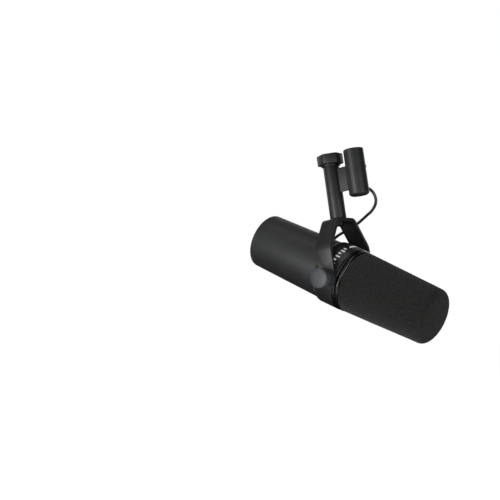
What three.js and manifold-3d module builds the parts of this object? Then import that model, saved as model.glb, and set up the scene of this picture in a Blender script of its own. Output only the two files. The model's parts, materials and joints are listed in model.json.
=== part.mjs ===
// Yoke-mounted broadcast microphone that hangs from a stand thread.
// Millimetres. The origin is the mouth of the stand thread, at the top of the captive nut.
// +Z runs up the stem, +X points the way the head faces, +Y is the head's left side.
import * as THREE from "three";
import { mergeVertices } from "three/addons/utils/BufferGeometryUtils.js";
import Module from "manifold-3d";

const wasm = await Module();
wasm.setup();

// ---------- driving dimensions ----------
const GAP = 0.3;                 // clearance between pieces that touch
const PIVOT_DROP = 112;          // the tilt axis lies this far below the thread's mouth
const TILT = THREE.MathUtils.degToRad(30.4);   // how far the head points down

// Hanger: heights are above the tilt axis.
const STRIP_WIDTH = 16.5;
const STRIP_THICK = 3;
const YOKE_OUTSIDE = 32;         // from the middle to an arm's outer face
const SHOULDER_Z = 27.1;         // where an arm bends into its slope
const BRIDGE_HALF = 13.6;
const BRIDGE_TOP = 52.9;
const STEM_R = 7.3;
const STEM_BORE_R = 2.6;
const STEM_BORE_DEEP = 12;
const NUT_BOTTOM = 103;
const NUT_ACROSS_FLATS = 21;
const NUT_CORNER = 11.7;         // from the axis to the flattened corners
const NUT_TURN = THREE.MathUtils.degToRad(3);
const THREAD_MINOR = 7.4;
const THREAD_MAJOR = 7.95;
const THREAD_PITCH = 0.94;
const FLANGE_R = 8.6;
const FLANGE_BOTTOM = 104.7;
const FLANGE_TOP = FLANGE_BOTTOM + 2;
const SOCKET_X = 25.5;           // connector housing's axis, ahead of the stem
const SOCKET_R = 9;
const SOCKET_WALL = 1.2;
const SOCKET_BOTTOM = 69.6;
const SOCKET_TOP = 111.4;
const WEB_BOTTOM = 76.5;
const WEB_TOP = 98.2;
const WEB_THICK = 3;
const PIN_CIRCLE = 4.1;
const LEAD_R = 1.35;
const GLAND_Z = 77.4;

// Head: stations are along its axis, ahead of the tilt axis.
const REAR_END = -94.6;
const CAN_REAR_R = 25.3;
const CAN_FRONT_R = 26.9;
const CAN_WALL = 1.6;
const CAN_FRONT = -17.3;
const COLLAR_REAR = -17;
const COLLAR_R = 28.7;
const COLLAR_BORE = 24;
const COLLAR_FRONT = 5.2;
const FOAM_BASE = 11.9;
const FOAM_BASE_R = 28.05;
const FOAM_END_R = 24.9;
const FRONT_END = 95;
const FOAM_EDGE = 6;
const CAGE_R = 22.4;
const CAGE_END = 86;
const PLATE_REAR = -92.6;
const PLATE_THICK = 2;

// Pivot: distances along Y from the middle.
const SEAT_Y = 27.4;             // flat spots on the collar's sides
const SEAT_R = 7.9;
const STUD_R = 2.6;
const STUD_HOLE = 3.2;
const BUSH_R = 5;
const BUSH_INNER = 22;
const KNOB_R = 8.7;
const KNOB_NECK_R = 6.4;
const KNOB_INNER = 39.4;
const KNOB_OUTER = 45.5;
const KNOB_FACE_THICK = 3;
const WASHER_OUTSIDE = YOKE_OUTSIDE + GAP + 1;

const ROUND = 36;                // facets round a large turned piece
const SMALL = 20;                // facets round a small one

// ---------- materials ----------
const finish = (color, roughness, metalness) =>
  new THREE.MeshStandardMaterial({ color, roughness, metalness });
const satinBlack = finish(0x2b2c2c, 0.45, 0.4);
const canGrey = finish(0x333536, 0.5, 0.4);
const knobGrey = finish(0x55575a, 0.45, 0.3);
const glossBlack = finish(0x0c0c0c, 0.15, 0.2);
const foamBlack = finish(0x1c1c1c, 0.95, 0);
const rubberBlack = finish(0x151515, 0.8, 0);
const steel = finish(0xa8abad, 0.3, 0.9);
const darkSteel = finish(0x4a4c4e, 0.4, 0.8);
const brass = finish(0xb99a54, 0.35, 0.9);
const copper = finish(0xb06a38, 0.4, 0.8);
const plastic = finish(0x232323, 0.5, 0);
const boardGreen = finish(0x1f4d2c, 0.6, 0);
const film = finish(0xc8c2a8, 0.4, 0);

// ---------- shaping helpers ----------
const alongX = new THREE.Matrix4().makeBasis(
  new THREE.Vector3(0, 1, 0), new THREE.Vector3(0, 0, 1), new THREE.Vector3(1, 0, 0));

// A profile of [radius, height] points turned about +Z. The points run anticlockwise.
function turned(points, facets = ROUND) {
  const profile = points.map(([r, z]) => new THREE.Vector2(r, z));
  return new THREE.LatheGeometry(profile, facets).rotateX(Math.PI / 2);
}

// A closed ring: the last point joins the first.
const ring = (points, facets) => turned([...points, points[0]], facets);

const tube = (inner, outer, low, high, facets) =>
  ring([[inner, low], [outer, low], [outer, high], [inner, high]], facets);

const rod = (r, low, high, facets = SMALL) =>
  turned([[0, low], [r, low], [r, high], [0, high]], facets);

const block = (x, y, z, at = [0, 0, 0]) => new THREE.BoxGeometry(x, y, z).translate(...at);

// Turned pieces are made about +Z and laid along the head's axis or the tilt axis.
const layX = (geometry) => geometry.rotateY(Math.PI / 2);
const layY = (geometry) => geometry.rotateX(-Math.PI / 2);

function toSolid(geometry) {
  const bare = geometry.clone();
  bare.deleteAttribute("normal");
  bare.deleteAttribute("uv");
  const merged = mergeVertices(bare, 1e-4);
  return new wasm.Manifold(new wasm.Mesh({
    numProp: 3,
    vertProperties: merged.attributes.position.array,
    triVerts: new Uint32Array(merged.index.array),
  }));
}

function toGeometry(solid) {
  const mesh = solid.getMesh();
  const geometry = new THREE.BufferGeometry();
  geometry.setAttribute("position", new THREE.BufferAttribute(mesh.vertProperties, 3));
  geometry.setIndex(new THREE.BufferAttribute(mesh.triVerts, 1));
  geometry.computeVertexNormals();
  return geometry;
}

function cut(geometry, ...tools) {
  const solid = tools.reduce((rest, tool) => rest.subtract(toSolid(tool)), toSolid(geometry));
  return toGeometry(solid);
}

function join(first, ...others) {
  return toGeometry(others.reduce((sum, other) => sum.add(toSolid(other)), toSolid(first)));
}

function piece(name, geometry, material, place = [0, 0, 0]) {
  const mesh = new THREE.Mesh(geometry, material);
  mesh.name = name;
  mesh.position.set(...place);
  return mesh;
}

// ---------- hanger ----------
// The strip's middle line in Y and Z, from one arm's end to the other, with rounded bends.
function stripLine() {
  const arm = YOKE_OUTSIDE - STRIP_THICK / 2;
  const slope = new THREE.Vector2(YOKE_OUTSIDE - BRIDGE_HALF, BRIDGE_TOP - SHOULDER_Z).normalize();
  const drop = STRIP_THICK / 2;
  const shoulder = new THREE.Vector2(arm, SHOULDER_Z - drop * Math.tan(Math.asin(slope.x) / 2));
  const corner = new THREE.Vector2(
    BRIDGE_HALF - drop * Math.tan(Math.asin(slope.y) / 2), BRIDGE_TOP - drop);
  const end = new THREE.Vector2(arm, -STRIP_WIDTH / 2);
  const middle = new THREE.Vector2(0, corner.y);
  const half = [...bend(end, shoulder, corner, 2.5), ...bend(shoulder, corner, middle, 2.5)];
  const mirrored = half.map((p) => new THREE.Vector2(-p.x, p.y)).reverse();
  return [end, ...half, ...mirrored, new THREE.Vector2(-end.x, end.y)];
}

// Points of a rounded corner at b, starting and ending a set distance from it.
function bend(a, b, c, back) {
  const from = b.clone().add(a.clone().sub(b).setLength(back));
  const to = b.clone().add(c.clone().sub(b).setLength(back));
  return new THREE.QuadraticBezierCurve(from, b, to).getPoints(3);
}

// A line thickened to both sides, with mitred corners.
function thickened(line, half) {
  const side = (sign) => line.map((p, i) => {
    const before = p.clone().sub(line[Math.max(i - 1, 0)]);
    const after = line[Math.min(i + 1, line.length - 1)].clone().sub(p);
    if (before.length() === 0) before.copy(after);
    if (after.length() === 0) after.copy(before);
    const along = before.normalize().add(after.normalize()).normalize();
    const reach = half / along.dot(after);
    return new THREE.Vector2(p.x + sign * along.y * reach, p.y - sign * along.x * reach);
  });
  return new THREE.Shape([...side(1), ...side(-1).reverse()]);
}

function yokeBracket() {
  const strip = new THREE.ExtrudeGeometry(thickened(stripLine(), STRIP_THICK / 2),
    { depth: STRIP_WIDTH, bevelEnabled: false });
  strip.translate(0, 0, -STRIP_WIDTH / 2).applyMatrix4(alongX);
  const reach = YOKE_OUTSIDE + 5;
  const above = block(STRIP_WIDTH + 2, 2 * reach, 80, [0, 0, 40]);
  const roundEnd = layY(rod(STRIP_WIDTH / 2, -reach, reach, ROUND));
  const studHole = layY(rod(STUD_HOLE, -reach, reach));
  const stemHole = rod(STUD_HOLE, BRIDGE_TOP - 10, BRIDGE_TOP + 10);
  const rounded = toSolid(strip).intersect(toSolid(join(above, roundEnd)));
  return cut(toGeometry(rounded), studHole, stemHole);
}

function stemTube() {
  const low = BRIDGE_TOP + GAP;
  const groove = NUT_BOTTOM - 1.9;
  return turned([
    [0, low + STEM_BORE_DEEP + 1], [STEM_BORE_R, low + STEM_BORE_DEEP], [STEM_BORE_R, low],
    [STEM_R - 0.5, low], [STEM_R, low + 0.5],
    [STEM_R, groove], [STEM_R - 0.7, groove], [STEM_R - 0.7, groove + 1.8], [STEM_R, groove + 1.8],
    [STEM_R, FLANGE_BOTTOM], [FLANGE_R, FLANGE_BOTTOM], [FLANGE_R, FLANGE_TOP],
    [5, FLANGE_TOP], [5, FLANGE_TOP - 1], [0, FLANGE_TOP - 1],
  ], 24);
}

// Sawtooth wall of the stand thread, from bottom to top.
function threadWall(low, high) {
  const turns = Math.floor((high - low) / THREAD_PITCH) - 1;
  return Array.from({ length: turns }, (_, i) => {
    const z = low + (i + 1) * THREAD_PITCH;
    return [[THREAD_MAJOR, z - THREAD_PITCH / 2], [THREAD_MINOR, z]];
  }).flat();
}

function captiveNut() {
  const top = PIVOT_DROP;
  const seat = FLANGE_BOTTOM - GAP;
  const roof = FLANGE_TOP + GAP;
  const bore = turned([
    [0, NUT_BOTTOM - 1], [STEM_R + GAP, NUT_BOTTOM - 1], [STEM_R + GAP, seat],
    [FLANGE_R + GAP, seat], [FLANGE_R + GAP, roof], [THREAD_MINOR, roof],
    ...threadWall(roof, top), [THREAD_MAJOR + 0.4, top], [THREAD_MAJOR + 0.4, top + 1],
    [0, top + 1],
  ], 24);
  const hexagon = new THREE.CylinderGeometry(
    NUT_ACROSS_FLATS / Math.sqrt(3), NUT_ACROSS_FLATS / Math.sqrt(3), top - NUT_BOTTOM, 6);
  hexagon.rotateX(Math.PI / 2).translate(0, 0, (top + NUT_BOTTOM) / 2);
  const flatCorners = new THREE.CylinderGeometry(
    NUT_CORNER / Math.cos(Math.PI / 6), NUT_CORNER / Math.cos(Math.PI / 6), 20, 6);
  flatCorners.rotateX(Math.PI / 2).rotateZ(Math.PI / 6).translate(0, 0, (top + NUT_BOTTOM) / 2);
  const outer = toSolid(hexagon).intersect(toSolid(flatCorners));
  return cut(toGeometry(outer), bore).rotateZ(NUT_TURN);
}

// A spring ring with a slot, seated in the stem's groove below the nut.
function retainingRing() {
  const low = NUT_BOTTOM - 1.6;
  return cut(tube(STEM_R - 0.4, 8.5, low, low + 1.2, 24), block(6, 2.4, 4, [-9, 0, low]));
}

const STEM_WASHER_TOP = BRIDGE_TOP - STRIP_THICK - GAP;
const STEM_WASHER_THICK = 0.8;
const SCREW_HEAD_R = 4.6;
const SCREW_HEAD_TALL = 1.8;

function stemScrew() {
  const seat = STEM_WASHER_TOP - STEM_WASHER_THICK - GAP;
  const bottom = seat - SCREW_HEAD_TALL;
  return turned([
    [0, bottom + 0.9], [1.4, bottom + 0.9], [1.4, bottom], [SCREW_HEAD_R - 1, bottom],
    [SCREW_HEAD_R, bottom + 0.9], [SCREW_HEAD_R, seat], [2.3, seat], [2.3, BRIDGE_TOP + 11],
    [0, BRIDGE_TOP + 11],
  ], SMALL);
}

const stemWasher = () =>
  tube(STEM_BORE_R, 5.2, STEM_WASHER_TOP - STEM_WASHER_THICK, STEM_WASHER_TOP, SMALL);

// A plate between the stem and the connector housing, hollowed at both ends to their rounds.
function connectorWeb() {
  const plate = block(SOCKET_X, WEB_THICK, WEB_TOP - WEB_BOTTOM,
    [SOCKET_X / 2, 0, (WEB_TOP + WEB_BOTTOM) / 2]);
  const stemSide = rod(STEM_R + GAP, WEB_BOTTOM - 1, WEB_TOP + 1, ROUND);
  const socketSide = rod(SOCKET_R + GAP, WEB_BOTTOM - 1, WEB_TOP + 1, ROUND).translate(SOCKET_X, 0, 0);
  return cut(plate, stemSide, socketSide);
}

const SCREW_Z = 95;
const SCREW_AZIMUTH = THREE.MathUtils.degToRad(35);

// The housing is open at the top, and its floor is closed and chamfered.
function connectorHousing() {
  const inner = SOCKET_R - SOCKET_WALL;
  const shell = turned([
    [0, SOCKET_BOTTOM], [SOCKET_R - 1.4, SOCKET_BOTTOM], [SOCKET_R, SOCKET_BOTTOM + 1.2],
    [SOCKET_R, SOCKET_TOP - 0.5], [SOCKET_R - 0.5, SOCKET_TOP], [inner, SOCKET_TOP],
    [inner, SOCKET_BOTTOM + 2], [0, SOCKET_BOTTOM + 2],
  ]);
  const screwHole = layX(rod(1, 5, 12, 12)).rotateZ(SCREW_AZIMUTH).translate(0, 0, SCREW_Z);
  const glandHole = layY(rod(2.3, 5, 12, 16)).translate(0, 0, GLAND_Z);
  return cut(shell, screwHole, glandHole);
}

const connectorScrew = () => layX(turned([
  [0, 7.1], [0.7, 7.1], [0.7, SOCKET_R + 0.1], [1.3, SOCKET_R + 0.1], [1.1, SOCKET_R + 0.7],
  [0, SOCKET_R + 0.7],
], 12)).rotateZ(SCREW_AZIMUTH);

const INSERT_BOTTOM = 84;
const INSERT_TOP = 93.4;

function pinPlace(i) {
  const angle = Math.PI + (i - 1) * THREE.MathUtils.degToRad(85);
  return [PIN_CIRCLE * Math.cos(angle), PIN_CIRCLE * Math.sin(angle), 0];
}

function connectorInsert() {
  const body = rod(SOCKET_R - SOCKET_WALL - GAP - 0.6, INSERT_BOTTOM, INSERT_TOP, ROUND);
  const keyway = block(3, 2.4, 4, [SOCKET_R - 2.6, 0, INSERT_TOP]);
  const holes = [0, 1, 2].map((i) =>
    rod(1.6, INSERT_BOTTOM - 1, INSERT_TOP + 1, 12).translate(...pinPlace(i)));
  return cut(body, keyway, ...holes);
}

const connectorPin = () => turned([
  [0, INSERT_BOTTOM - 4], [1.25, INSERT_BOTTOM - 4], [1.25, INSERT_TOP + 11],
  [0.7, INSERT_TOP + 12], [0, INSERT_TOP + 12],
], 12);

// Flanged rubber bush on the housing's back, where the lead comes out.
const leadGland = () => layY(turned([
  [0, 6.6], [2, 6.6], [2, SOCKET_R + GAP], [2.8, SOCKET_R + GAP], [2.2, SOCKET_R + 1.5],
  [0, SOCKET_R + 1.5],
], 16));

// The lead's route, above and round the tilt axis: out of the housing's back, outside the far
// arm, and in a loose loop down to the can's side.
const LEAD_ROUTE = [
  [25.5, 10.9, 77.4], [25.8, 12.6, 77.2], [26.9, 14.4, 76.3], [28.7, 15.6, 74.2],
  [30.2, 17, 70.6], [30.2, 18.6, 66], [27.6, 21, 62.2], [20.6, 25.4, 58], [11.8, 29.5, 55.2],
  [-1.8, 33.4, 50.3], [-18.4, 34.6, 45.7], [-28.3, 34.6, 42.2], [-33.8, 35.2, 37.6],
  [-35.6, 36, 31.8], [-33.6, 36.6, 26.2], [-29.2, 36.2, 22.6], [-25, 34, 21.6],
  [-22.5, 31, 21.8], [-22.1, 27.8, 21.6],
];

function lead() {
  const points = LEAD_ROUTE.map((p) => new THREE.Vector3(...p));
  const route = new THREE.CatmullRomCurve3(points, false, "centripetal");
  const section = new THREE.Shape(Array.from({ length: 8 }, (_, i) => {
    const angle = i * Math.PI / 4;
    return new THREE.Vector2(LEAD_R * Math.cos(angle), LEAD_R * Math.sin(angle));
  }));
  return new THREE.ExtrudeGeometry(section, { steps: 42, extrudePath: route, bevelEnabled: false });
}

function hanger() {
  const group = new THREE.Group();
  group.add(
    piece("yoke_bracket", yokeBracket(), satinBlack),
    piece("stem_tube", stemTube(), satinBlack),
    piece("nut_retaining_ring", retainingRing(), darkSteel),
    piece("stem_screw", stemScrew(), darkSteel),
    piece("stem_washer", stemWasher(), darkSteel),
    piece("connector_web", connectorWeb(), satinBlack),
    piece("captive_nut", captiveNut(), satinBlack),
    piece("lead", lead(), rubberBlack),
  );
  const socket = new THREE.Group();
  socket.position.set(SOCKET_X, 0, 0);
  socket.add(
    piece("connector_housing", connectorHousing(), satinBlack),
    piece("connector_insert", connectorInsert(), plastic),
    piece("connector_screw", connectorScrew(), steel, [0, 0, SCREW_Z]),
    piece("lead_gland", leadGland(), rubberBlack, [0, 0, GLAND_Z]),
  );
  for (let i = 0; i < 3; i += 1) {
    socket.add(piece(`connector_pin_${i + 1}`, connectorPin(), steel, pinPlace(i)));
  }
  group.add(socket);
  return group;
}

// ---------- pivot ----------
const pivotWasher = () =>
  tube(STUD_HOLE, SEAT_R - 0.5, SEAT_Y + GAP, YOKE_OUTSIDE - STRIP_THICK - GAP, 24);

const outerWasher = () => tube(STUD_HOLE, 8, YOKE_OUTSIDE + GAP, WASHER_OUTSIDE, 24);

function clampKnob() {
  const seat = WASHER_OUTSIDE + GAP;
  const bottom = KNOB_OUTER - KNOB_FACE_THICK;
  return turned([
    [0, bottom], [STUD_R + GAP, bottom], [STUD_R + GAP, seat], [KNOB_NECK_R, seat],
    [KNOB_NECK_R, KNOB_INNER - 1], [KNOB_R - 0.6, KNOB_INNER], [KNOB_R, KNOB_INNER + 0.6],
    [KNOB_R, KNOB_OUTER - 2.2], [KNOB_R - 0.7, KNOB_OUTER - 0.7], [KNOB_R - 2.4, KNOB_OUTER],
    [0, KNOB_OUTER],
  ], 24);
}

const pivotStud = () => rod(STUD_R, BUSH_INNER + GAP, KNOB_OUTER - KNOB_FACE_THICK - GAP);

const pivotBush = () => ring([
  [STUD_R + 0.2, BUSH_INNER], [7, BUSH_INNER], [7, BUSH_INNER + 0.8], [BUSH_R, BUSH_INNER + 0.8],
  [BUSH_R, SEAT_Y - GAP],
  [STUD_R + 0.2, SEAT_Y - GAP],
], 16);

// One side's knob, stud and washers, made on the far side and turned round for the near side.
function pivotSide(side, turn) {
  const group = new THREE.Group();
  group.rotation.z = turn;
  group.add(
    piece(`knob_${side}`, layY(clampKnob()), knobGrey),
    piece(`stud_${side}`, layY(pivotStud()), steel),
    piece(`pivot_washer_${side}`, layY(pivotWasher()), plastic),
    piece(`outer_washer_${side}`, layY(outerWasher()), rubberBlack),
  );
  return group;
}

// ---------- head shells ----------
function rearCan() {
  const shell = ring([
    [CAN_REAR_R - CAN_WALL, REAR_END], [CAN_REAR_R - 1.1, REAR_END],
    [CAN_REAR_R - 0.3, REAR_END + 0.4], [CAN_REAR_R, REAR_END + 1.2],
    [CAN_FRONT_R, CAN_FRONT], [CAN_FRONT_R - CAN_WALL, CAN_FRONT],
  ]);
  const leadHole = layY(rod(1.9, 20, 32, 16)).rotateX(GROMMET_LIFT).translate(GROMMET_X, 0, 0);
  return cut(layX(shell), leadHole);
}

// The collar carries the pivot: flat seats on both sides, with bushes behind them.
function frontCollar() {
  const shell = ring([
    [COLLAR_BORE, COLLAR_REAR], [CAN_FRONT_R, COLLAR_REAR],
    [CAN_FRONT_R + 0.4, COLLAR_REAR + 0.7], [COLLAR_R - 0.3, COLLAR_REAR + 2.6],
    [COLLAR_R, COLLAR_REAR + 3.6], [COLLAR_R, COLLAR_FRONT - 0.4],
    [COLLAR_R - 0.4, COLLAR_FRONT], [COLLAR_BORE, COLLAR_FRONT],
  ]);
  const bushHole = layY(rod(BUSH_R + GAP, -40, 40, 24));
  return cut(layX(shell), ...seatCutters(), bushHole);
}

const seatCutters = () => [0, Math.PI].map((turn) =>
  layY(rod(SEAT_R, SEAT_Y, SEAT_Y + 5, 28)).rotateZ(turn));

const couplingRing = () => layX(tube(21.2, COLLAR_BORE - GAP, -26, -9, 20));

const lipRing = () => cut(layX(ring([
  [24.3, COLLAR_FRONT + GAP], [COLLAR_R - 0.4, COLLAR_FRONT + GAP],
  [COLLAR_R, COLLAR_FRONT + 0.9], [COLLAR_R - 0.3, COLLAR_FRONT + 1.8],
  [COLLAR_R - 1.4, COLLAR_FRONT + 2.3], [24.3, COLLAR_FRONT + 2.6],
])), ...seatCutters());

const clampRing = () => layX(ring([
  [CAGE_R + GAP, 8.1], [27.4, 8.1], [28.3, 8.8], [28.5, 9.6], [28.2, 10.6], [27.2, 11.5],
  [CAGE_R + GAP, 11.5],
]));

// Foam cup with a tapered outside, a rounded front edge and a slightly crowned face.
function windscreen() {
  const bore = CAGE_R + 0.4;
  const edge = Array.from({ length: 6 }, (_, i) => {
    const a = (i / 5) * (Math.PI / 2);
    return [FOAM_END_R - FOAM_EDGE + FOAM_EDGE * Math.cos(a),
      FRONT_END - 0.8 - FOAM_EDGE + FOAM_EDGE * Math.sin(a)];
  });
  return layX(turned([
    [0, CAGE_END + 0.5], [bore, CAGE_END + 0.5], [bore, FOAM_BASE], [FOAM_BASE_R - 0.8, FOAM_BASE],
    [FOAM_BASE_R, FOAM_BASE + 0.9], ...edge, [9, FRONT_END - 0.2], [0, FRONT_END],
  ]));
}

// Perforated cage: a cup with rows of long slots.
function grilleCage() {
  const wall = 1;
  const cup = layX(turned([
    [0, CAGE_END - wall], [CAGE_R - wall, CAGE_END - wall], [CAGE_R - wall, 8.4],
    [CAGE_R, 8.4], [CAGE_R, CAGE_END - 1.5], [CAGE_R - 1.5, CAGE_END], [0, CAGE_END],
  ], 24));
  const slots = [29, 51, 73].flatMap((middle) => [0, 1, 2, 3].map((turn) =>
    block(15, 9, 60, [middle, 0, 0]).rotateX(turn * Math.PI / 4)));
  const mouth = layX(rod(7, CAGE_END - 4, CAGE_END + 4, 16));
  return cut(cup, ...slots, mouth);
}

// ---------- rear end ----------
const SLIDER_Y = 8.5;            // the two switches lie this far either side of the middle
const SLIDER_TRAVEL = 2.6;
const SCREW_Y = 18.5;

function rearPlate() {
  const disc = layX(rod(CAN_REAR_R - CAN_WALL - GAP, PLATE_REAR, PLATE_REAR + PLATE_THICK, ROUND));
  const windows = [1, -1].map((sign) =>
    block(8, 4.2 + SLIDER_TRAVEL, 3.4, [PLATE_REAR, sign * SLIDER_Y, 0]));
  const holes = [1, -1].map((sign) =>
    layX(rod(1.4, PLATE_REAR - 2, PLATE_REAR + 6, 12)).translate(0, sign * SCREW_Y, 0));
  return cut(disc, ...windows, ...holes);
}

const plateScrew = () => layX(turned([
  [0, PLATE_REAR - 1.4], [1.8, PLATE_REAR - 1.4], [2.3, PLATE_REAR - 0.9], [2.3, PLATE_REAR - GAP],
  [1.1, PLATE_REAR - GAP], [1.1, PLATE_REAR + 8], [0, PLATE_REAR + 8],
], 16));

const post = () => layX(turned([
  [0, PLATE_REAR + 12], [1.4, PLATE_REAR + 11], [1.4, PLATE_REAR + PLATE_THICK + GAP],
  [2.7, PLATE_REAR + PLATE_THICK + GAP], [2.7, -42], [0, -42],
], 12));

// Thumb piece of a slide switch, at the left end of its travel.
const slider = () => join(
  block(4.2, 3.6, 2.8, [PLATE_REAR + 1.3, 0, 0]),
  block(1.2, 2, 2, [PLATE_REAR - 1.2, 0, 0]));

const switchBody = () => block(6, 13, 7, [PLATE_REAR + 7, 0, 0]);

// ---------- inside the head ----------
const circuitBoard = () => cut(
  block(40, 30, 1.6, [-61, 0, -9]),
  block(6, 6, 4, [-44, 12, -9]));

const transformerCore = () => cut(
  block(24, 20, 22, [-58, 0, 4]),
  block(14, 30, 3, [-58, 0, 11]));

const capsuleShell = () => layX(turned([
  [0, -16], [14.5, -16], [14.5, 28], [13.4, 28], [13.4, -14.8], [0, -14.8],
], SMALL));

const resonatorCap = () => {
  const disc = layX(rod(13.1, 22, 23.4));
  const holes = [0, 1, 2, 3, 4, 5].map((i) =>
    layX(rod(1.8, 20, 25, 8)).translate(0, 8, 0).rotateX(i * Math.PI / 3));
  return cut(disc, ...holes);
};

const diaphragm = () => layX(turned([
  [0, 17.4], [6, 16.6], [13, 16], [13, 16.5], [6, 17.1], [0, 18],
], SMALL));

const voiceCoil = () => layX(tube(6.6, 7.5, 9, 15.6, SMALL));

const magnetCup = () => layX(turned([
  [0, -6.4], [12.8, -6.4], [12.8, 12], [8.1, 12], [8.1, 9], [10.8, 9], [10.8, -3.4], [0, -3.4],
], SMALL));

const magnet = () => layX(rod(8, -3.1, 5.6));

const polePiece = () => layX(rod(6.2, 5.9, 12));

const humbuckingCoil = () => layX(tube(4, 12.5, -14.4, -6.8, SMALL));

// Rubber ring with a waist, between the cartridge and what holds it.
const shockRing = (outer, low, high) => layX(ring([
  [14.8, low], [17, low + 1.4], [outer, low], [outer, high], [17, high - 1.4], [14.8, high],
], SMALL));

// ---------- where the lead enters the can ----------
const GROMMET_X = -30;
const GROMMET_LIFT = THREE.MathUtils.degToRad(15);    // above the side of the can

const headGrommet = () => layY(turned([
  [0, 24], [1.6, 24], [1.6, 26.9], [2.7, 26.9], [2.1, 28.3], [0, 28.3],
], 16)).rotateX(GROMMET_LIFT);

function head() {
  const group = new THREE.Group();
  group.rotation.y = TILT;
  group.add(
    piece("rear_can", rearCan(), canGrey),
    piece("front_collar", frontCollar(), satinBlack),
    piece("coupling_ring", couplingRing(), darkSteel),
    piece("lip_ring", lipRing(), glossBlack),
    piece("clamp_ring", clampRing(), glossBlack),
    piece("windscreen", windscreen(), foamBlack),
    piece("grille_cage", grilleCage(), darkSteel),
    piece("rear_plate", rearPlate(), satinBlack),
    piece("circuit_board", circuitBoard(), boardGreen),
    piece("transformer", transformerCore(), darkSteel),
    piece("capsule_shell", capsuleShell(), darkSteel),
    piece("resonator_cap", resonatorCap(), plastic),
    piece("diaphragm", diaphragm(), film),
    piece("voice_coil", voiceCoil(), copper),
    piece("magnet_cup", magnetCup(), steel),
    piece("magnet", magnet(), darkSteel),
    piece("pole_piece", polePiece(), steel),
    piece("humbucking_coil", humbuckingCoil(), copper),
    piece("shock_ring_front", shockRing(CAGE_R - 1.3, 12, 18), rubberBlack),
    piece("shock_ring_rear", shockRing(20.9, -15, -9.4), rubberBlack),
    piece("head_grommet", headGrommet(), rubberBlack, [GROMMET_X, 0, 0]),
  );
  for (const [side, sign] of [["far", 1], ["near", -1]]) {
    const bush = piece(`pivot_bush_${side}`, layY(pivotBush()), brass);
    bush.rotation.z = sign > 0 ? 0 : Math.PI;
    group.add(
      bush,
      piece(`plate_screw_${side}`, plateScrew(), steel, [0, sign * SCREW_Y, 0]),
      piece(`post_${side}`, post(), brass, [0, sign * SCREW_Y, 0]),
      piece(`switch_body_${side}`, switchBody(), plastic, [0, sign * SLIDER_Y, 0]),
      piece(`slider_${side}`, slider(), plastic, [0, sign * SLIDER_Y - SLIDER_TRAVEL / 2, 0]),
    );
  }
  return group;
}

const microphone = new THREE.Group();
const aboutPivot = new THREE.Group();
aboutPivot.position.z = -PIVOT_DROP;
aboutPivot.add(hanger(), pivotSide("far", 0), pivotSide("near", Math.PI), head());
microphone.add(aboutPivot);

export default microphone;
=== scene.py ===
import json
import math

import bmesh
import bpy
from mathutils import Matrix, Vector, noise


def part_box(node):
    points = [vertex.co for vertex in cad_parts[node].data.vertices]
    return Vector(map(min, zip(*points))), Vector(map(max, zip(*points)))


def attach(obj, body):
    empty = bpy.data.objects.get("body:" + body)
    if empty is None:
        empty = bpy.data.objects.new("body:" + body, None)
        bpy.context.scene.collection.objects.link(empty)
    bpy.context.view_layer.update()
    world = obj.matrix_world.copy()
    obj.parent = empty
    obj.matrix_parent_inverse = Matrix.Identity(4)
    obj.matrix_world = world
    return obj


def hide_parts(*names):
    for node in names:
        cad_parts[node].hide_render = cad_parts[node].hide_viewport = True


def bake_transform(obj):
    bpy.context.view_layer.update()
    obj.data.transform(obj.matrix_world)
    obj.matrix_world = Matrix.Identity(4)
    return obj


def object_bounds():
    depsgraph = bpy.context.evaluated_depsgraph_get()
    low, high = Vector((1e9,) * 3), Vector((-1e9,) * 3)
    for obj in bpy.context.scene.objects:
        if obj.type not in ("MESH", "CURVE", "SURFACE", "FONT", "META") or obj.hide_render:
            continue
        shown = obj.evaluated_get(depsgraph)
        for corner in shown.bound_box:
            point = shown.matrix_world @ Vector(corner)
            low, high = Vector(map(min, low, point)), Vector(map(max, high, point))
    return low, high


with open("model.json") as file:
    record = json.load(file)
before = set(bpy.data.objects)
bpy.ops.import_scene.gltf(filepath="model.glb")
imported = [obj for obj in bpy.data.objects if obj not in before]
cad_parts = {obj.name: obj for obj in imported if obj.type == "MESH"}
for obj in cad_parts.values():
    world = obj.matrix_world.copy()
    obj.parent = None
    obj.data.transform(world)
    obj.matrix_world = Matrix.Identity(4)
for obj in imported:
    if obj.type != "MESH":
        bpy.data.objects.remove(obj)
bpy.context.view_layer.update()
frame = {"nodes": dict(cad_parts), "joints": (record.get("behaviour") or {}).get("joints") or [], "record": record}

scene = bpy.context.scene
scene.view_settings.view_transform = "Standard"

# ---------- local frames ----------
# Every shape is drawn in millimetres about a local Z axis, and placed by one of these frames.
MM = 0.001
record = frame["record"]
joints = {joint["name"]: joint for joint in frame["joints"]}
PIVOT = Vector(joints["head_tilt"]["pos_m"])
FORWARD = Vector(joints["windscreen_pull"]["axis"]).normalized()
X_AXIS, Y_AXIS, Z_AXIS = Vector((1, 0, 0)), Vector((0, 1, 0)), Vector((0, 0, 1))


def home(origin, side, up):
    """A frame at a point, with its Z axis along side x up."""
    turn = Matrix((side, up, side.cross(up))).transposed().to_4x4()
    return Matrix.Translation(origin) @ turn


def middle(node):
    low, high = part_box(node)
    return (low + high) / 2


HEAD = home(PIVOT, Y_AXIS, FORWARD.cross(Y_AXIS))
STEM = home(PIVOT, X_AXIS, Y_AXIS)
SOCKET = home(PIVOT + X_AXIS * middle("connector_housing").x, X_AXIS, Y_AXIS)
FAR_SIDE = home(PIVOT, Z_AXIS, X_AXIS)
NEAR_SIDE = home(PIVOT, X_AXIS, Z_AXIS)
GLAND = home(PIVOT + X_AXIS * middle("lead_gland").x + Z_AXIS * (middle("lead_gland").z - PIVOT.z),
             Z_AXIS, X_AXIS)


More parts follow.
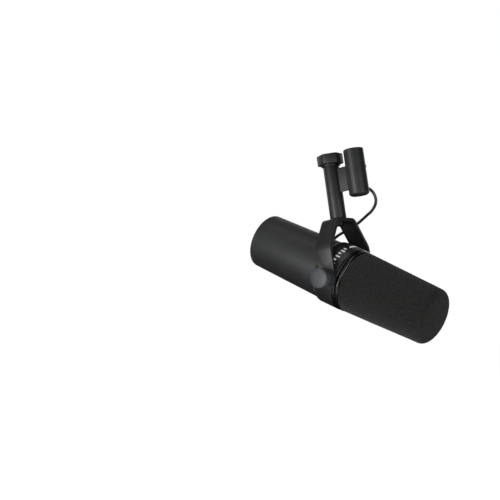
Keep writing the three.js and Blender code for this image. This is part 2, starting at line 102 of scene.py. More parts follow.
def span(node, where):
    """Lowest and highest corner of a node in a local frame, in millimetres."""
    back = where.inverted()
    points = [(back @ vertex.co) / MM for vertex in frame["nodes"][node].data.vertices]
    low = Vector([min(point[i] for point in points) for i in range(3)])
    high = Vector([max(point[i] for point in points) for i in range(3)])
    return low, high


def centre_of(node, where):
    low, high = span(node, where)
    return (low + high) / 2


def reach(node, where, low=-1e3, high=1e3):
    """Largest radius of a turned node about a frame's Z axis, between two heights."""
    back = where.inverted()
    points = [(back @ vertex.co) / MM for vertex in frame["nodes"][node].data.vertices]
    return max(point.xy.length for point in points if low <= point.z <= high)


# ---------- camera ----------
AZIMUTH = math.radians(38.0)
ELEVATION = math.radians(-6.7)
ROLL = math.radians(7.5)
LENS = 72.85
STAND_OFF = 0.9019               # camera to the tilt axis, along the view
PIVOT_RIGHT = 0.0863             # the tilt axis lies right of and below the frame's middle
PIVOT_BELOW = 0.0246


def make_camera():
    level = Vector((math.cos(AZIMUTH), math.sin(AZIMUTH), 0))
    back = Vector((math.sin(AZIMUTH) * math.cos(ELEVATION),
                   -math.cos(AZIMUTH) * math.cos(ELEVATION), math.sin(ELEVATION)))
    upright = back.cross(level)
    right = level * math.cos(ROLL) - upright * math.sin(ROLL)
    up = level * math.sin(ROLL) + upright * math.cos(ROLL)
    data = bpy.data.cameras.new("camera")
    data.lens = LENS
    data.sensor_width = 36
    camera = bpy.data.objects.new("camera", data)
    scene.collection.objects.link(camera)
    origin = PIVOT + back * STAND_OFF - right * PIVOT_RIGHT + up * PIVOT_BELOW
    camera.matrix_world = (Matrix.Translation(origin)
                           @ Matrix((right, up, back)).transposed().to_4x4())
    scene.camera = camera


make_camera()


# ---------- materials ----------
class Finish:
    """A node material, built up from helper calls."""

    def __init__(self, name, **principled):
        self.material = bpy.data.materials.new(name)
        self.material.use_nodes = True
        self.nodes = self.material.node_tree.nodes
        self.links = self.material.node_tree.links
        self.shader = self.nodes["Principled BSDF"]
        self.coordinates = self.nodes.new("ShaderNodeTexCoord").outputs["Object"]
        for key, value in principled.items():
            self.shader.inputs[key.replace("_", " ")].default_value = value

    def noise(self, scale, detail=3.0, stretch=None):
        texture = self.nodes.new("ShaderNodeTexNoise")
        texture.inputs["Scale"].default_value = scale
        texture.inputs["Detail"].default_value = detail
        self.links.new(self.place(stretch), texture.inputs["Vector"])
        return texture.outputs["Fac"]

    def cells(self, scale, feature="F1"):
        texture = self.nodes.new("ShaderNodeTexVoronoi")
        texture.feature = feature
        texture.inputs["Scale"].default_value = scale
        self.links.new(self.coordinates, texture.inputs["Vector"])
        return texture.outputs["Distance"]

    def place(self, stretch):
        if stretch is None:
            return self.coordinates
        mapping = self.nodes.new("ShaderNodeMapping")
        mapping.inputs["Scale"].default_value = stretch
        self.links.new(self.coordinates, mapping.inputs["Vector"])
        return mapping.outputs["Vector"]

    def ramp(self, source, stops):
        ramp = self.nodes.new("ShaderNodeValToRGB")
        elements = ramp.color_ramp.elements
        while len(elements) < len(stops):
            elements.new(0.5)
        for element, (position, tone) in zip(elements, stops):
            element.position = position
            element.color = (*tone, 1) if isinstance(tone, tuple) else (tone, tone, tone, 1)
        self.links.new(source, ramp.inputs["Fac"])
        return ramp.outputs["Color"]

    def mixed(self, mask, first, second):
        mix = self.nodes.new("ShaderNodeMix")
        mix.data_type = "RGBA"
        for socket, value in zip((mix.inputs[0], mix.inputs[6], mix.inputs[7]),
                                 (mask, first, second)):
            if isinstance(value, bpy.types.NodeSocket):
                self.links.new(value, socket)
            else:
                socket.default_value = (*value, 1)
        return mix.outputs[2]

    def multiplied(self, colour, tone):
        """A colour multiplied by a grey tone."""
        mix = self.nodes.new("ShaderNodeMix")
        mix.data_type = "RGBA"
        mix.blend_type = "MULTIPLY"
        mix.inputs[0].default_value = 1.0
        self.links.new(colour, mix.inputs[6])
        self.links.new(tone, mix.inputs[7])
        return mix.outputs[2]

    def times(self, first, factor):
        node = self.nodes.new("ShaderNodeMath")
        node.operation = "MULTIPLY"
        self.links.new(first, node.inputs[0])
        if isinstance(factor, bpy.types.NodeSocket):
            self.links.new(factor, node.inputs[1])
        else:
            node.inputs[1].default_value = factor
        return node.outputs[0]

    def edges(self, radius=0.0005):
        """1 on convex and concave edges, 0 on the flats."""
        bevel = self.nodes.new("ShaderNodeBevel")
        bevel.samples = 4
        bevel.inputs["Radius"].default_value = radius
        flat = self.nodes.new("ShaderNodeNewGeometry")
        dot = self.nodes.new("ShaderNodeVectorMath")
        dot.operation = "DOT_PRODUCT"
        self.links.new(bevel.outputs["Normal"], dot.inputs[0])
        self.links.new(flat.outputs["Normal"], dot.inputs[1])
        return self.ramp(dot.outputs["Value"], [(0.80, 1.0), (0.985, 0.0)])

    def roughness(self, source, low, high):
        span_node = self.nodes.new("ShaderNodeMapRange")
        span_node.inputs["From Min"].default_value = 0.3
        span_node.inputs["From Max"].default_value = 0.7
        span_node.inputs["To Min"].default_value = low
        span_node.inputs["To Max"].default_value = high
        self.links.new(source, span_node.inputs["Value"])
        self.links.new(span_node.outputs["Result"], self.shader.inputs["Roughness"])

    def bump(self, source, strength, height, below=None):
        bump = self.nodes.new("ShaderNodeBump")
        bump.inputs["Strength"].default_value = strength
        bump.inputs["Distance"].default_value = height
        self.links.new(source, bump.inputs["Height"])
        if below is not None:
            self.links.new(below, bump.inputs["Normal"])
        self.links.new(bump.outputs["Normal"], self.shader.inputs["Normal"])
        return bump.outputs["Normal"]

    def colour(self, source):
        self.links.new(source, self.shader.inputs["Base Color"])


def tones(base, spread):
    """A darker and a lighter version of a colour."""
    return tuple(c * (1 - spread) for c in base), tuple(c * (1 + spread) for c in base)


def painted(name, base, rough, grain, worn):
    """Satin paint on metal: fine peel, faint clouding, rubbed edges and a little dust."""
    finish = Finish(name, Metallic=0.0, Specular_IOR_Level=0.5)
    dark, light = tones(base, 0.16)
    clouds = finish.ramp(finish.noise(70, 5), [(0.32, dark), (0.68, light)])
    specks = finish.ramp(finish.noise(2600, 1), [(0.70, 0.0), (0.76, 1.0)])
    dusty = finish.mixed(specks, clouds, tuple(c * 1.7 + 0.01 for c in base))
    patchy = finish.ramp(finish.noise(260, 4), [(0.4, 0.0), (0.7, 1.0)])
    rubbed = finish.times(finish.edges(), patchy)
    finish.colour(finish.mixed(rubbed, dusty, worn))
    finish.roughness(finish.noise(120, 4), rough - 0.05, rough + 0.07)
    finish.bump(finish.noise(grain, 2), 0.22, 0.00006)
    return finish.material


def moulded(name, base, rough, grain=1800):
    """Moulded plastic or rubber with a fine spark-eroded grain."""
    finish = Finish(name)
    dark, light = tones(base, 0.14)
    finish.colour(finish.ramp(finish.noise(110, 4), [(0.3, dark), (0.7, light)]))
    finish.roughness(finish.noise(300, 3), rough - 0.06, rough + 0.06)
    finish.bump(finish.noise(grain, 2), 0.2, 0.00005)
    return finish.material


def glowing_print(name, base):
    """Bright ink, a little worn through, with a painted glow: some emission lifts it to a brighter white than the
    lamps give it.
    """
    # painted glow: the emission makes the print shine though it is no lamp
    finish = Finish(name, Emission_Color=(1, 1, 1, 1), Emission_Strength=0.22)
    dark, light = tones(base, 0.14)
    finish.colour(finish.ramp(finish.noise(110, 4), [(0.3, dark), (0.7, light)]))
    finish.roughness(finish.noise(300, 3), 0.44, 0.56)
    finish.bump(finish.noise(1800, 2), 0.2, 0.00005)
    return finish.material


def glossy(name, base):
    """Polished black plastic with faint handling marks."""
    finish = Finish(name, Coat_Weight=0.25, Coat_Roughness=0.12)
    dark, light = tones(base, 0.3)
    finish.colour(finish.ramp(finish.noise(90, 3), [(0.3, dark), (0.7, light)]))
    smears = finish.noise(160, 6, stretch=(1, 3, 1))
    finish.roughness(smears, 0.22, 0.34)
    finish.bump(finish.noise(500, 2), 0.06, 0.00004)
    return finish.material


def metal(name, base, rough, lines=(1, 1, 14)):
    """Turned or brushed metal: fine lines and slight staining."""
    finish = Finish(name, Metallic=1.0)
    dark, light = tones(base, 0.12)
    finish.colour(finish.ramp(finish.noise(140, 5), [(0.3, dark), (0.7, light)]))
    streaks = finish.noise(700, 3, stretch=lines)
    finish.roughness(streaks, rough - 0.06, rough + 0.1)
    finish.bump(streaks, 0.12, 0.00003)
    return finish.material


def open_foam(name, base):
    """Open-cell foam: tiny pores with painted shade darkening their hollows, paler struts, over slow unevenness.
    """
    finish = Finish(name, Sheen_Weight=0.09, Sheen_Roughness=0.6, Specular_IOR_Level=0.15)
    finish.shader.inputs["Roughness"].default_value = 0.95
    # painted shade: the pores' hollows are darkened in the colour
    pore_shade = finish.ramp(finish.cells(1250), [(0.05, 0.25), (0.55, 1.0)])
    coarse = finish.ramp(finish.noise(420, 4), [(0.3, 0.72), (0.7, 1.2)])
    tone = finish.mixed(pore_shade, tuple(c * 0.3 for c in base), base)
    finish.colour(finish.multiplied(tone, coarse))
    first = finish.bump(finish.noise(240, 3), 0.35, 0.0005)
    finish.bump(finish.cells(1250), 0.9, 0.0004, below=first)
    return finish.material


def solder_mask(name):
    """Green board with paler copper runs under the mask."""
    finish = Finish(name)
    runs = finish.nodes.new("ShaderNodeTexBrick")
    runs.inputs["Scale"].default_value = 260
    runs.inputs["Mortar Size"].default_value = 0.05
    runs.inputs["Color1"].default_value = (0.012, 0.075, 0.03, 1)
    runs.inputs["Color2"].default_value = (0.015, 0.09, 0.035, 1)
    runs.inputs["Mortar"].default_value = (0.05, 0.2, 0.08, 1)
    finish.links.new(finish.coordinates, runs.inputs["Vector"])
    finish.colour(runs.outputs["Color"])
    finish.roughness(finish.noise(200, 3), 0.3, 0.45)
    finish.bump(runs.outputs["Fac"], 0.3, 0.00005)
    return finish.material


def thin_film(name):
    """Milky polyester film, faintly creased."""
    finish = Finish(name, Roughness=0.3)
    creases = finish.noise(380, 2)
    finish.colour(finish.ramp(creases, [(0.3, (0.5, 0.47, 0.33)), (0.7, (0.62, 0.58, 0.44))]))
    finish.bump(creases, 0.3, 0.0001)
    return finish.material


FINISHES = {
    "satin_black": painted("satin_black", (0.018, 0.0185, 0.019), 0.42, 1500, (0.05, 0.05, 0.05)),
    "can_grey": painted("can_grey", (0.018, 0.0187, 0.0192), 0.5, 1300, (0.055, 0.055, 0.057)),
    "knob_grey": moulded("knob_grey", (0.053, 0.057, 0.063), 0.48, 1500),
    "gloss_black": glossy("gloss_black", (0.006, 0.006, 0.006)),
    "foam_black": open_foam("foam_black", (0.0145, 0.0145, 0.0138)),
    "rubber_black": moulded("rubber_black", (0.042, 0.042, 0.042), 0.34, 900),
    "steel": metal("steel", (0.55, 0.56, 0.57), 0.28),
    "dark_steel": metal("dark_steel", (0.07, 0.072, 0.075), 0.38),
    "brass": metal("brass", (0.55, 0.4, 0.17), 0.3),
    "copper": metal("copper", (0.5, 0.2, 0.09), 0.35, lines=(1, 1, 40)),
    "black_plastic": moulded("black_plastic", (0.018, 0.018, 0.018), 0.42),
    "board_green": solder_mask("board_green"),
    "film": thin_film("film"),
}
PRINT_WITH_PAINTED_GLOW = glowing_print("print_white_painted_glow", (0.85, 0.85, 0.84))
MATT_BLACK = painted("matt_black", (0.020, 0.0205, 0.021), 0.62, 1500, (0.05, 0.05, 0.05))


# ---------- shaping ----------
def quarter(steps, first=0):
    """Angles from 0 to 90 degrees."""
    return [math.pi / 2 * k / steps for k in range(first, steps + 1)]


def soften(points, radius, closed=True, steps=4):
    """Rounds an outline's corners by small arcs."""
    rounded = []
    count = len(points)
    for i, point in enumerate(points):
        here = Vector(point)
        if not closed and i in (0, count - 1):
            rounded.append(here)
            continue
        before = Vector(points[i - 1]) - here
        after = Vector(points[(i + 1) % count]) - here
        back = min(radius, 0.45 * before.length, 0.45 * after.length)
        start = here + before.normalized() * back
        end = here + after.normalized() * back
        for k in range(steps + 1):
            t = k / steps
            rounded.append(start * (1 - t) ** 2 + here * 2 * t * (1 - t) + end * t * t)
    return rounded


def turned(outline, facets=96, closed=True):
    """An outline of (radius, height) turned about Z. A closed outline makes a ring."""
    bm = bmesh.new()
    rings = []
    for r, z in outline:
        if r < 1e-4:
            rings.append([bm.verts.new((0, 0, z))])
        else:
            rings.append([bm.verts.new((r * math.cos(math.tau * k / facets),
                                        r * math.sin(math.tau * k / facets), z))
                          for k in range(facets)])
    following = rings[1:] + ([rings[0]] if closed else [])
    for lower, upper in zip(rings, following):
        for k in range(facets):
            corners = [lower[k % len(lower)], lower[(k + 1) % len(lower)],
                       upper[(k + 1) % len(upper)], upper[k % len(upper)]]
            distinct = list(dict.fromkeys(corners))
            if len(distinct) > 2:
                bm.faces.new(distinct)
    bmesh.ops.recalc_face_normals(bm, faces=bm.faces)
    return bm


def rod(radius, low, high, facets=64):
    return turned([(0, low), (radius, low), (radius, high), (0, high)], facets, closed=False)


def block(size, at=(0, 0, 0)):
    bm = bmesh.new()
    bmesh.ops.create_cube(bm, size=1)
    bm.transform(Matrix.Translation(at) @ Matrix.Diagonal((*size, 1)))
    return bm


def prism(outline, low, high, where=Matrix()):
    """An outline extruded along Z."""
    bm = bmesh.new()
    lower = [bm.verts.new((x, y, low)) for x, y in outline]
    upper = [bm.verts.new((x, y, high)) for x, y in outline]
    bm.faces.new(lower[::-1])
    bm.faces.new(upper)
    count = len(outline)
    for i in range(count):
        j = (i + 1) % count
        bm.faces.new((lower[i], lower[j], upper[j], upper[i]))
    bm.transform(where)
    bmesh.ops.recalc_face_normals(bm, faces=bm.faces)
    return bm


def as_object(bm, name="tool"):
    mesh = bpy.data.meshes.new(name)
    bm.to_mesh(mesh)
    bm.free()
    obj = bpy.data.objects.new(name, mesh)
    scene.collection.objects.link(obj)
    return obj


def drop(obj):
    mesh = obj.data
    bpy.data.objects.remove(obj)
    bpy.data.meshes.remove(mesh)


def boolean(bm, operation, *tools):
    """Cuts or joins solids that are all in the same local millimetres."""
    body = as_object(bm)
    others = [as_object(tool) for tool in tools]
    for other in others:
        modifier = body.modifiers.new("cut", "BOOLEAN")
        modifier.operation = operation
        modifier.solver = "EXACT"
        modifier.object = other
    evaluated = body.evaluated_get(bpy.context.evaluated_depsgraph_get())
    result = bmesh.new()
    result.from_mesh(evaluated.to_mesh())
    for obj in [body, *others]:
        drop(obj)
    bmesh.ops.remove_doubles(result, verts=result.verts, dist=1e-4)
    return result


def chamfer(bm, width, angle=30.0, segments=3):
    """Rounds every edge that is sharper than an angle."""
    limit = math.radians(angle)
    sharp = [edge for edge in bm.edges
             if len(edge.link_faces) == 2 and edge.calc_face_angle(0) > limit]
    bmesh.ops.bevel(bm, geom=sharp, offset=width, segments=segments, profile=0.5,
                    affect="EDGES", clamp_overlap=True)
    return bm


def joined(*parts):
    """Several loose solids as one mesh."""
    whole = bmesh.new()
    for part in parts:
        mesh = bpy.data.meshes.new("part")
        part.to_mesh(mesh)
        part.free()
        whole.from_mesh(mesh)
        bpy.data.meshes.remove(mesh)
    return whole


def piece(name, bm, where, body, slot, stands_for=(), crease=32.0, finish=None):
    """A finished piece: placed, smoothed, given its finish, and riding on its body.

    Print and the painted highlight patch have a finish of their own, with a painted glow, and no slot.
    """
    bm.transform(where @ Matrix.Scale(MM, 4))
    obj = as_object(bm, name)
    obj.data.shade_smooth()
    obj.data.set_sharp_from_angle(angle=math.radians(crease))
    obj.data.materials.append(finish or FINISHES[slot])
    if body:
        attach(obj, body)
    if stands_for:
        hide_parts(*stands_for)
    return obj


# ---------- the lead ----------
LEAD_ROUTE_MM = [
    (25.5, 10.9, 77.4), (25.8, 12.6, 77.2), (26.9, 14.4, 76.3), (28.7, 15.6, 74.2),
    (30.2, 17, 70.6), (30.2, 18.6, 66), (27.6, 21, 62.2), (20.6, 25.4, 58), (11.8, 29.5, 55.2),
    (-1.8, 33.4, 50.3), (-18.4, 34.6, 45.7), (-28.3, 34.6, 42.2), (-33.8, 35.2, 37.6),
    (-35.6, 36, 31.8), (-33.6, 36.6, 26.2), (-29.2, 36.2, 22.6), (-25, 34, 21.6),
    (-22.5, 31, 21.8), (-22.1, 27.8, 21.6),
]
LEAD_RADIUS_MM = 1.35


def through(points, per_span=10):
    """A smooth line through points: centripetal Catmull-Rom."""
    first = points[0] * 2 - points[1]
    last = points[-1] * 2 - points[-2]
    padded = [first, *points, last]
    line = []
    for i in range(1, len(padded) - 2):
        a, b, c, d = padded[i - 1:i + 3]
        t1 = (b - a).length ** 0.5
        t2 = t1 + (c - b).length ** 0.5
        t3 = t2 + (d - c).length ** 0.5
        for k in range(per_span):
            t = t1 + (t2 - t1) * k / per_span
            ab = a.lerp(b, t / t1)
            bc = b.lerp(c, (t - t1) / (t2 - t1))
            cd = c.lerp(d, (t - t2) / (t3 - t2))
            abc = ab.lerp(bc, t / t2)
            bcd = bc.lerp(cd, (t - t1) / (t3 - t1))
            line.append(abc.lerp(bcd, (t - t1) / (t2 - t1)))
    return [*line, points[-1]]


def tube_along(line, radius, sides=16):
    """A round tube along a line, with closed ends, carried along without twist."""
    bm = bmesh.new()
    rings = []
    across = None
    for i, point in enumerate(line):
        along = (line[min(i + 1, len(line) - 1)] - line[max(i - 1, 0)]).normalized()
        across = (across or Vector((0, 0, 1))) - along * along.dot(across or Vector((0, 0, 1)))
        across.normalize()
        other = along.cross(across)
        rings.append([bm.verts.new(point + across * radius * math.cos(math.tau * k / sides)
                                   + other * radius * math.sin(math.tau * k / sides))
                      for k in range(sides)])
    for lower, upper in zip(rings, rings[1:]):
        for k in range(sides):
            m = (k + 1) % sides
            bm.faces.new((lower[k], lower[m], upper[m], upper[k]))
    bm.faces.new(rings[0][::-1])
    bm.faces.new(rings[-1])
    bmesh.ops.recalc_face_normals(bm, faces=bm.faces)
    return bm


def make_lead():
    line = through([Vector(point) for point in LEAD_ROUTE_MM])
    lead = piece("lead_flex", tube_along(line, LEAD_RADIUS_MM), STEM, None, "rubber_black",
                 ["lead"])
    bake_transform(lead)


make_lead()

# ---------- hanger ----------
STRIP_THICK = 3.0
SHOULDER = 27.1                  # height of the bend between arm and slope
BRIDGE_HALF = 13.6
STUD_HOLE = 3.2
BEND_BACK = 3.2                  # a bend in the strip starts this far from its corner
SCREW_BORE = 2.6
SCREW_BORE_DEEP = 12
FLANGE_RISE = 1.7                # the stem's flange starts this far above the nut's foot


def bend(a, b, c, back, steps=8):
    start = b + (a - b).normalized() * back
    end = b + (c - b).normalized() * back
    return [start * (1 - t) ** 2 + b * 2 * t * (1 - t) + end * t * t
            for t in (k / steps for k in range(steps + 1))]


def thickened(line, half):
    """A line widened to both sides, with mitred corners."""
    sides = ([], [])
    for i, point in enumerate(line):
        before = (point - line[max(i - 1, 0)]).normalized()
        after = (line[min(i + 1, len(line) - 1)] - point).normalized()
        before = before if before.length else after
        after = after if after.length else before
        along = (before + after).normalized()
        out = Vector((along.y, -along.x)) * (half / along.dot(after))
        sides[0].append(point + out)
        sides[1].append(point - out)
    return sides[0] + sides[1][::-1]


def make_yoke():
    low, high = span("yoke_bracket", STEM)
    half = STRIP_THICK / 2
    width = high.x - low.x
    arm = high.y - half
    slope = Vector((high.y - BRIDGE_HALF, high.z - SHOULDER)).normalized()
    shoulder = Vector((arm, SHOULDER - half * math.tan(math.asin(slope.x) / 2)))
    corner = Vector((BRIDGE_HALF - half * math.tan(math.asin(slope.y) / 2), high.z - half))
    end = Vector((arm, low.z))
    centre = Vector((0, corner.y))
    side = [*bend(end, shoulder, corner, BEND_BACK), *bend(shoulder, corner, centre, BEND_BACK)]
    mirror = [Vector((-p.x, p.y)) for p in side[::-1]]
    line = [end, *side, *mirror, Vector((-arm, low.z))]
    # The outline is drawn in Y and Z, and extruded along X.
    stand_up = Matrix(((0, 0, 1, 0), (1, 0, 0, 0), (0, 1, 0, 0), (0, 0, 0, 1)))
    strip = prism(thickened(line, half), -width / 2, width / 2, stand_up)
    lie_along_y = Matrix.Rotation(math.pi / 2, 4, "X")
    reach_y = high.y + 5
    above = block((width + 2, 2 * reach_y, 80), (0, 0, 40))
    round_end = rod(width / 2, -reach_y, reach_y, 96)
    round_end.transform(lie_along_y)
    stud_hole = rod(STUD_HOLE, -reach_y, reach_y)
    stud_hole.transform(lie_along_y)
    stem_hole = rod(STUD_HOLE, high.z - 10, high.z + 10)
    envelope = boolean(above, "UNION", round_end)
    strip = boolean(strip, "INTERSECT", envelope)
    strip = boolean(strip, "DIFFERENCE", stud_hole, stem_hole)
    piece("yoke", chamfer(strip, 0.45), STEM, "hanger", "satin_black", ["yoke_bracket"])


def make_stem():
    low, high = span("stem_tube", STEM)
    nut_low, _ = span("captive_nut", STEM)
    r = reach("stem_tube", STEM, low.z, nut_low.z - 3)
    flange = reach("stem_tube", STEM, nut_low.z, high.z)
    ring_low, ring_high = span("nut_retaining_ring", STEM)
    outline = [
        (0, low.z + SCREW_BORE_DEEP + 1), (SCREW_BORE, low.z + SCREW_BORE_DEEP),
        (SCREW_BORE, low.z), (r - 0.5, low.z), (r, low.z + 0.5),
        (r, ring_low.z - 0.3), (r - 0.7, ring_low.z - 0.3), (r - 0.7, ring_high.z + 0.3),
        (r, ring_high.z + 0.3), (r, nut_low.z + FLANGE_RISE), (flange, nut_low.z + FLANGE_RISE),
        (flange, high.z), (5, high.z), (5, high.z - 1), (0, high.z - 1),
    ]
    stem = turned(soften(outline, 0.15, closed=False, steps=2), closed=False)
    piece("stem", stem, STEM, "hanger", "satin_black", ["stem_tube"])
    snap = turned(soften([(r - 0.4, ring_low.z), (8.5, ring_low.z), (8.5, ring_high.z),
                          (r - 0.4, ring_high.z)], 0.25, steps=3))
    slot = block((6, 2.4, 4), (-9, 0, ring_low.z))
    piece("snap_ring", boolean(snap, "DIFFERENCE", slot), STEM, "hanger", "dark_steel",
          ["nut_retaining_ring"])


THREAD_MINOR = 7.4
THREAD_DEPTH = 0.55
THREAD_PITCH = 0.94


def threaded_rod(low, high, facets=72, rows=8):
    """The bore's shape: a helical ridge of triangular section."""
    bm = bmesh.new()
    count = int((high - low) / THREAD_PITCH * rows)
    rings = []
    for row in range(count + 1):
        z = low + (high - low) * row / count
        ring = []
        for k in range(facets):
            phase = (z / THREAD_PITCH - k / facets) % 1.0
            r = THREAD_MINOR + THREAD_DEPTH * (1 - abs(2 * phase - 1))
            angle = math.tau * k / facets
            ring.append(bm.verts.new((r * math.cos(angle), r * math.sin(angle), z)))
        rings.append(ring)
    for lower, upper in zip(rings, rings[1:]):
        for k in range(facets):
            m = (k + 1) % facets
            bm.faces.new((lower[k], lower[m], upper[m], upper[k]))
    bm.faces.new(rings[0][::-1])
    bm.faces.new(rings[-1])
    bmesh.ops.recalc_face_normals(bm, faces=bm.faces)
    return bm


NUT_ACROSS = 21.0
NUT_CORNER = 11.7
NUT_TURN = math.radians(3)
NUT_CORNER_HALF_TURN = math.radians(4)


def make_nut():
    low, high = span("captive_nut", STEM)
    r = NUT_CORNER / math.cos(NUT_CORNER_HALF_TURN)
    half_flat = math.acos(NUT_ACROSS / 2 / r)
    outline = []
    for i in range(6):
        before = math.radians(60 * i) + NUT_TURN + half_flat
        after = math.radians(60 * (i + 1)) + NUT_TURN - half_flat
        outline += [(r * math.cos(angle), r * math.sin(angle)) for angle in (before, after)]
    hexagon = chamfer(prism(outline, low.z, high.z), 0.55, angle=50, segments=3)
    stem_r = reach("stem_tube", STEM, 60, low.z - 3) + 0.3
    flange = reach("stem_tube", STEM, low.z, high.z) + 0.3
    entry = rod(stem_r, low.z - 1, low.z + 2, 96)
    chamber = rod(flange, low.z + 1.4, low.z + 4, 96)
    mouth = turned([(0, high.z - 0.9), (THREAD_MINOR, high.z - 0.9),
                    (THREAD_MINOR + 1.1, high.z + 0.2), (0, high.z + 0.2)], 96, closed=False)
    thread = threaded_rod(low.z + 3.5, high.z + 0.5)
    nut = boolean(hexagon, "DIFFERENCE", entry, chamber, thread, mouth)
    piece("stand_nut", nut, STEM, "stand_nut", "satin_black", ["captive_nut"])


def make_connector():
    low, high = span("connector_housing", SOCKET)
    r = reach("connector_housing", SOCKET)
    inner = r - 1.2
    outline = [
        (0, low.z), (r - 1.6, low.z), (r, low.z + 1.4), (r, high.z - 0.5), (r - 0.5, high.z),
        (inner, high.z), (inner, low.z + 2), (0, low.z + 2),
    ]
    shell = turned(soften(outline, 0.4, closed=False), closed=False)
    gland_hole = rod(2.3, 5, 12, 32)
    gland_hole.transform(Matrix.Translation((0, 0, middle("lead_gland").z / MM - PIVOT.z / MM))
                         @ Matrix.Rotation(-math.pi / 2, 4, "X"))
    screw = middle("connector_screw") - (PIVOT + X_AXIS * middle("connector_housing").x)
    bearing = math.atan2(screw.y, screw.x)
    screw_hole = rod(1.0, 5, 12, 24)
    screw_hole.transform(Matrix.Translation((0, 0, screw.z / MM))
                         @ Matrix.Rotation(bearing, 4, "Z")
                         @ Matrix.Rotation(math.pi / 2, 4, "Y"))
    shell = boolean(shell, "DIFFERENCE", gland_hole, screw_hole)
    piece("housing_shell", shell, SOCKET, "hanger", "satin_black", ["connector_housing"])
    make_insert(inner)
    make_screw_head(bearing, screw.z / MM, r)


def make_insert(inner):
    low, high = span("connector_insert", SOCKET)
    r = reach("connector_insert", SOCKET)
    disc = turned(soften([(0, low.z), (r, low.z), (r, high.z), (0, high.z)], 0.3, closed=False),
                  closed=False)
    keyway = block((3, 2.4, 4), (r - 0.5, 0, high.z))
    cups = []
    for i in range(3):
        at = SOCKET.inverted() @ middle(f"connector_pin_{i + 1}") / MM
        cup = rod(1.6, high.z - 1.2, high.z + 1, 32)
        cup.transform(Matrix.Translation((at.x, at.y, 0)))
        cups.append(cup)
        pin_low, pin_high = span(f"connector_pin_{i + 1}", SOCKET)
        pin_r = (pin_high.x - pin_low.x) / 2
        pin = turned(soften([(0, pin_low.z), (pin_r, pin_low.z), (pin_r, pin_high.z - 1),
                             (pin_r - 0.5, pin_high.z), (0, pin_high.z)], 0.3, closed=False),
                     32, closed=False)
        pin.transform(Matrix.Translation((at.x, at.y, 0)))
        piece(f"contact_pin_{i + 1}", pin, SOCKET, "hanger", "steel", [f"connector_pin_{i + 1}"])
    insert = boolean(disc, "DIFFERENCE", keyway, *cups)
    piece("pin_insert", insert, SOCKET, "hanger", "black_plastic", ["connector_insert"])


def make_screw_head(bearing, height, r):
    """Pan-head screw in the housing's side, with a cross recess."""
    outline = [(0, r - 1.9), (0.7, r - 1.9), (0.7, r + 0.1), (1.3, r + 0.1), (1.15, r + 0.55),
               (0.7, r + 0.7), (0, r + 0.7)]
    screw = turned(outline, 32, closed=False)
    cross = [block((1.5, 0.3, 1), (0, 0, r + 0.9)), block((0.3, 1.5, 1), (0, 0, r + 0.9))]
    screw = boolean(screw, "DIFFERENCE", *cross)
    screw.transform(Matrix.Translation((0, 0, height)) @ Matrix.Rotation(bearing, 4, "Z")
                    @ Matrix.Rotation(math.pi / 2, 4, "Y"))
    piece("housing_screw", screw, SOCKET, "hanger", "steel", ["connector_screw"])


def make_web():
    low, high = span("connector_web", STEM)
    at = SOCKET.translation.x / MM
    stem_r = reach("stem_tube", STEM, 60, 95)
    socket_r = reach("connector_housing", SOCKET)
    plate = block((at, high.y - low.y, high.z - low.z),
                  (at / 2, 0, (high.z + low.z) / 2))
    plate = chamfer(plate, 0.35)
    stem_side = rod(stem_r + 0.05, low.z - 1, high.z + 1, 96)
    socket_side = rod(socket_r + 0.05, low.z - 1, high.z + 1, 96)
    socket_side.transform(Matrix.Translation((at, 0, 0)))
    web = boolean(plate, "DIFFERENCE", stem_side, socket_side)
    piece("web_plate", web, STEM, "hanger", "satin_black", ["connector_web"])


def make_gland():
    low, high = span("lead_gland", GLAND)
    r = reach("lead_gland", GLAND)
    outline = [(0, low.z), (2, low.z), (2, high.z - 1.2), (r, high.z - 1.2),
               (r - 0.1, high.z - 0.6), (r - 0.9, high.z), (0, high.z)]
    piece("gland_bush", turned(soften(outline, 0.2, closed=False), 40, closed=False), GLAND,
          "hanger", "rubber_black", ["lead_gland"])


def make_stem_screw():
    low, high = span("stem_screw", STEM)
    r = reach("stem_screw", STEM)
    outline = [(0, low.z), (r - 1, low.z), (r, low.z + 0.9), (r, low.z + 1.8), (2.3, low.z + 1.8),
               (2.3, high.z), (0, high.z)]
    head = turned(soften(outline, 0.3, closed=False), 48, closed=False)
    socket = prism([(2 * math.cos(math.radians(60 * i)), 2 * math.sin(math.radians(60 * i)))
                    for i in range(6)], low.z - 1, low.z + 0.9)
    head = boolean(head, "DIFFERENCE", socket)
    piece("bridge_screw", head, STEM, "hanger", "dark_steel", ["stem_screw"])
    low, high = span("stem_washer", STEM)
    r = reach("stem_washer", STEM)
    outline = [(SCREW_BORE, low.z), (r, low.z), (r, high.z), (SCREW_BORE, high.z)]
    piece("bridge_washer", turned(soften(outline, 0.2)), STEM, "hanger", "dark_steel",
          ["stem_washer"])


make_yoke()
make_stem()
make_nut()
make_connector()
make_web()
make_gland()
make_stem_screw()


